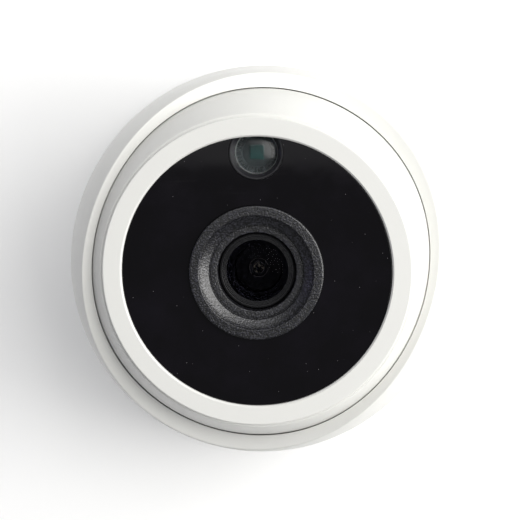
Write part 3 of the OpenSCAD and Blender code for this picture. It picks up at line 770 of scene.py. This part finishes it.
_, HEAD_R, BARREL_BACK, HEAD_FRONT = extents("lens_barrel", ON_AXIS)
GLASS_R, _, _, _ = extents("lens_retaining_ring", ON_AXIS)
_, STOP_R, STOP_LOW, STOP_HIGH = extents("aperture_ring", ON_AXIS)
THREAD_R = 5.9
HEAD_BACK = 11.6
RETAINER_BACK = 15.0
RETAINER_W = 0.65
RETAINER_STEPS = 3
RETAINER_DROP = 0.16        # of each step
BORE_R = GLASS_R + 0.7
BORE_FLOOR = 14.2
REAR_BORE_R = 4.6
MIDDLE_BORE_R = 5.4
MIDDLE_FLOOR = 12.4
STOP_HOLE_R = 1.1
STOP_BOWL_R = 1.9
STOP_STEPS = 2
STOP_DROP = 0.15            # of each step
BRIGHT_EDGES = ((STOP_BOWL_R, STOP_HIGH), (STOP_HOLE_R + 0.05, STOP_HIGH - STOP_STEPS * STOP_DROP))


def barrel():
    """The lens body: a thread, and a head with a fine groove and chamfer at its front edge."""
    thread = [[REAR_BORE_R, BARREL_BACK], [THREAD_R, BARREL_BACK, 0.3], [THREAD_R, HEAD_BACK]]
    head = [[HEAD_R, HEAD_BACK, 0.2], [HEAD_R, HEAD_FRONT - 0.3, 0.15]]
    edge = [[HEAD_R - 0.22, HEAD_FRONT - 0.08], [HEAD_R - 0.24, HEAD_FRONT - 0.25],
            [HEAD_R - 0.3, HEAD_FRONT - 0.25], [HEAD_R - 0.36, HEAD_FRONT, 0.04]]
    bore = [[BORE_R, HEAD_FRONT, 0.05], [BORE_R, BORE_FLOOR], [MIDDLE_BORE_R, BORE_FLOOR],
            [MIDDLE_BORE_R, MIDDLE_FLOOR], [REAR_BORE_R, MIDDLE_FLOOR]]
    return spin("lens_body", rounded(thread + head + edge + bore), ON_AXIS, SEGMENTS)


def retaining_ring():
    """Fine steps down from the barrel's rim to the glass."""
    width = RETAINER_W / RETAINER_STEPS
    outline = [[GLASS_R + RETAINER_W, RETAINER_BACK]]
    for i in range(RETAINER_STEPS):
        outer = GLASS_R + RETAINER_W - i * width
        height = HEAD_FRONT - 0.05 - RETAINER_DROP * i
        outline += [[outer, height - RETAINER_DROP], [outer - 0.6 * width, height, 0.03],
                    [outer - width, height, 0.03]]
    outline += [[GLASS_R, RETAINER_BACK]]
    return spin("glass_retainer", rounded(outline), ON_AXIS, SEGMENTS)


def front_glass():
    """The front element: domed in front and hollow behind, with a thin rim."""
    hollow_r = 4.6
    hollow_z = 10.6
    back = 14.25
    outline = dome(HEAD_FRONT, 12, GLASS_R - 0.02, 48)
    outline += arc(hollow_z, hollow_r, math.pi / 2, math.asin((back - hollow_z) / hollow_r), 48)
    return spin("front_glass", outline, ON_AXIS, SEGMENTS)


def aperture():
    """The stop behind the front glass, with fine steps round its hole."""
    width = (STOP_BOWL_R - STOP_HOLE_R) / STOP_STEPS
    outline = [[STOP_HOLE_R, STOP_LOW], [STOP_R, STOP_LOW], [STOP_R, STOP_HIGH - 0.2, 0.1],
               [STOP_R - 0.2, STOP_HIGH, 0.1], [STOP_BOWL_R, STOP_HIGH, 0.12]]
    for i in range(1, STOP_STEPS + 1):
        height = STOP_HIGH - STOP_DROP * i
        outline += [[STOP_BOWL_R - width * (i - 1), height], [STOP_BOWL_R - width * i, height, 0.12]]
    return spin("aperture", rounded(outline), ON_AXIS, SMALL_SEGMENTS)


def stop_edge(radius, height):
    """A bright turned edge, as a fine ring."""
    wire_r = 0.07
    sides = 12
    section = arc(height, wire_r, 0, 2 * math.pi * (sides - 1) / sides, sides - 1)
    return spin("stop_edge", [[radius + x, z] for x, z in section], ON_AXIS, SMALL_SEGMENTS)


def inner_glass():
    """The domed element behind the stop."""
    _, outer, low, high = extents("inner_lens", ON_AXIS)
    return spin("inner_glass", [[0, low], [outer, low]] + dome(high, 6.5, outer, 16), ON_AXIS, SMALL_SEGMENTS)


def place_lens():
    """Puts the lens together. The pieces inside it have looks of their own."""
    place_piece(barrel(), "lens", "lens_metal", "lens_barrel")
    place_piece(retaining_ring(), "lens", "lens_metal", "lens_retaining_ring")
    place_piece(front_glass(), "lens", "lens_glass", "front_lens")
    place_piece(aperture(), "lens", "black_plastic", "aperture_ring", material=blackened("blackened"))
    turned = metal("turned_edge", (0.32, 0.3, 0.24), 0.35)
    for radius, height in BRIGHT_EDGES:
        place_piece(stop_edge(radius, height), "lens", "black_plastic", material=turned)
    place_piece(inner_glass(), "lens", "lens_glass", "inner_lens", material=pupil_glass("pupil_glass"))


place_lens()

# ---- Array LED ----

LED_R = 3.9
LED_SEAT_Z = LEDGE_Z + 0.5      # top of the package, where the dome sits
CUP_R = 5.1
CUP_RIM_R = 4.75
CUP_BORE_R = LED_R + 0.2
CUP_TOP = FACE_Z - 0.7
CUP_LIP_Z = FACE_Z - 1.6
PHOSPHOR_SIZE = (2.5, 2.5, 0.45)
PHOSPHOR_LOOK = ((0.02, 0.09, 0.084), 0.35, 0.3, 0.02, 0.05, 0.35)


def led_spin(name, outline):
    """A piece turned round the array LED's own axis."""
    return spin(name, rounded(outline), ON_AXIS, SMALL_SEGMENTS, (0, LED_Y))


def led_cup():
    """The dark collar round the LED, cut off by the window's edge."""
    outline = [[CUP_BORE_R, POCKET_Z], [CUP_R, POCKET_Z], [CUP_R, CUP_TOP, 0.12], [CUP_RIM_R, CUP_TOP, 0.1],
               [CUP_BORE_R, CUP_LIP_Z, 0.1]]
    cup = led_spin("led_collar", outline)
    low, high = (0, 0, POCKET_Z - OVERSHOOT), (0, 0, FACE_Z + OVERSHOOT)
    return combine(cup, [rod(WINDOW_R - 0.02, low, high, ON_AXIS, SEGMENTS)], "INTERSECT")


def led_dome():
    """The flat resin dome with a round shoulder, hollow over the phosphor."""
    top = LEDGE_Z + 3.55
    hollow_r = 2.2
    hollow_z = LED_SEAT_Z + 0.4
    outline = [[0, hollow_z], [hollow_r, hollow_z], [hollow_r, LED_SEAT_Z], [LED_R, LED_SEAT_Z, 0.1],
               [LED_R, top - 1.5, 0.7], [LED_R - 0.15, top - 0.9, 0.5]]
    return led_spin("led_dome", outline + dome(top, 8, 3.2, 16))


def led_package():
    """The LED's dark base, with a shallow dish for the phosphor."""
    outer = LED_R - 0.1
    dish_z = LED_SEAT_Z - 0.15
    outline = [[0, LEDGE_Z - 0.05], [outer, LEDGE_Z - 0.05], [outer, LED_SEAT_Z, 0.12],
               [2.7, LED_SEAT_Z, 0.05], [2.5, dish_z], [0, dish_z]]
    return led_spin("led_package", outline)


def led_phosphor():
    """The square phosphor that shows teal through the dome."""
    bm = bmesh.new()
    bmesh.ops.create_cube(bm, size=1)
    centre = Vector((0, LED_Y, LED_SEAT_Z + 0.075)) * MM
    size = Vector(PHOSPHOR_SIZE) * MM
    bm.transform(ON_AXIS @ Matrix.Translation(centre) @ Matrix.Diagonal((*size, 1)))
    bmesh.ops.bevel(bm, geom=bm.edges[:], offset=0.12 * MM, segments=3, affect="EDGES")
    return mesh_object("led_phosphor", bm)


place_piece(led_package(), "face", "led_package", "array_led")
place_piece(led_phosphor(), "face", "led_package", material=moulded("led_phosphor", *PHOSPHOR_LOOK))
place_piece(led_cup(), "face", "led_holder", "led_cup")
place_piece(led_dome(), "face", "led_resin", "led_lens")

# ---- Floor, lights and camera. Lengths are in metres from here on. ----

FLOOR_HALF = 2.0
FLOOR_DROP = 0.0002             # clear of the camera's mounting plate
FLOOR_GLOW = 0.22
WARM = (1.0, 0.99, 0.97)
NEUTRAL = (1, 1, 1)
VIOLET = (0.55, 0.5, 1.0)
# Each row: azimuth and elevation in degrees, distance, size, power in watts, colour.
SOFT_LIGHTS = {
    "key": (14, 48, 0.9, 0.9, 9.8, WARM),
    "side": (-5, 20, 0.8, 0.4, 1.8, WARM),
    "top_fill": (100, 55, 1.0, 0.8, 2.0, NEUTRAL),
    "glint": (181, 22, 0.8, 0.15, 0.14, VIOLET),
}
PANEL_HEIGHT = 1.2
PANEL_NEAR = -0.146             # this edge shows in the window
PANEL_FAR = 0.5
PANEL_WIDTH = 0.9
PANEL_POWER = 0.55
SKY = (0.95, 0.97, 1.0, 1)
SKY_STRENGTH = 0.13
EYE_DISTANCE = 0.250
EYE_LEAN_RIGHT = math.radians(0.8)
EYE_LEAN_UP = math.radians(1.3)
LENS_LENGTH = 84.8              # in millimetres, as is the sensor's width
SENSOR_WIDTH = 36
SHIFT = (-0.003, 0.002)
CLIP_START = 0.01


def add_object(name, data):
    """A new object in the scene."""
    made = bpy.data.objects.new(name, data)
    bpy.context.scene.collection.objects.link(made)
    return made


def floor():
    """A pale floor that glows a little, so that it stays white in the picture."""
    bm = bmesh.new()
    bmesh.ops.create_grid(bm, x_segments=8, y_segments=8, size=FLOOR_HALF)
    piece = mesh_object("floor", bm)
    piece.location.z = cad_bounds[0][2] - FLOOR_DROP
    s = Surface("floor_paint", (0.9, 0.9, 0.895), 0.75)
    s.set(Emission_Color=(1, 1, 1, 1), Emission_Strength=FLOOR_GLOW)
    s.use(Base_Color=s.mix_color(s.noise(160, 3), (0.89, 0.89, 0.885), (0.915, 0.915, 0.91)))
    piece.data.materials.append(s.material)


def soft_light(name, azimuth, elevation, distance, size, power, color):
    """A square soft light aimed at the ball's centre. Azimuth 0 is the picture's right, 90 its top."""
    a, e = math.radians(azimuth), math.radians(elevation)
    away = Vector((math.cos(a) * math.cos(e), math.sin(a) * math.cos(e), math.sin(e)))
    data = bpy.data.lights.new(name, "AREA")
    data.size = size
    data.energy = power
    data.color = color
    light = add_object(name, data)
    light.location = BALL_CENTRE + away * distance
    light.rotation_euler = away.to_track_quat("Z", "Y").to_euler()


def overhead_panel():
    """A dim panel above the camera, whose edge shows as a paler band across the top of the window."""
    data = bpy.data.lights.new("overhead", "AREA")
    data.shape = "RECTANGLE"
    data.size = PANEL_WIDTH
    data.size_y = PANEL_FAR - PANEL_NEAR
    data.energy = PANEL_POWER
    light = add_object("overhead", data)
    light.location = BALL_CENTRE + Vector((0, (PANEL_NEAR + PANEL_FAR) / 2, PANEL_HEIGHT))


def camera():
    """Looks down on the face from where the photograph was taken."""
    data = bpy.data.cameras.new("camera")
    data.lens = LENS_LENGTH
    data.sensor_width = SENSOR_WIDTH
    data.clip_start = CLIP_START
    data.shift_x, data.shift_y = SHIFT
    eye = add_object("camera", data)
    turn = Matrix.Rotation(EYE_LEAN_RIGHT, 4, "Y") @ Matrix.Rotation(-EYE_LEAN_UP, 4, "X")
    eye.matrix_world = Matrix.Translation(BALL_CENTRE) @ turn @ Matrix.Translation((0, 0, EYE_DISTANCE))
    bpy.context.scene.camera = eye


def surroundings():
    """A dim, even sky."""
    world = bpy.data.worlds.new("studio")
    world.use_nodes = True
    background = world.node_tree.nodes["Background"]
    background.inputs["Color"].default_value = SKY
    background.inputs["Strength"].default_value = SKY_STRENGTH
    bpy.context.scene.world = world


floor()
for light_name, settings in SOFT_LIGHTS.items():
    soft_light(light_name, *settings)
overhead_panel()
surroundings()
camera()
bpy.context.scene.view_settings.view_transform = "Standard"
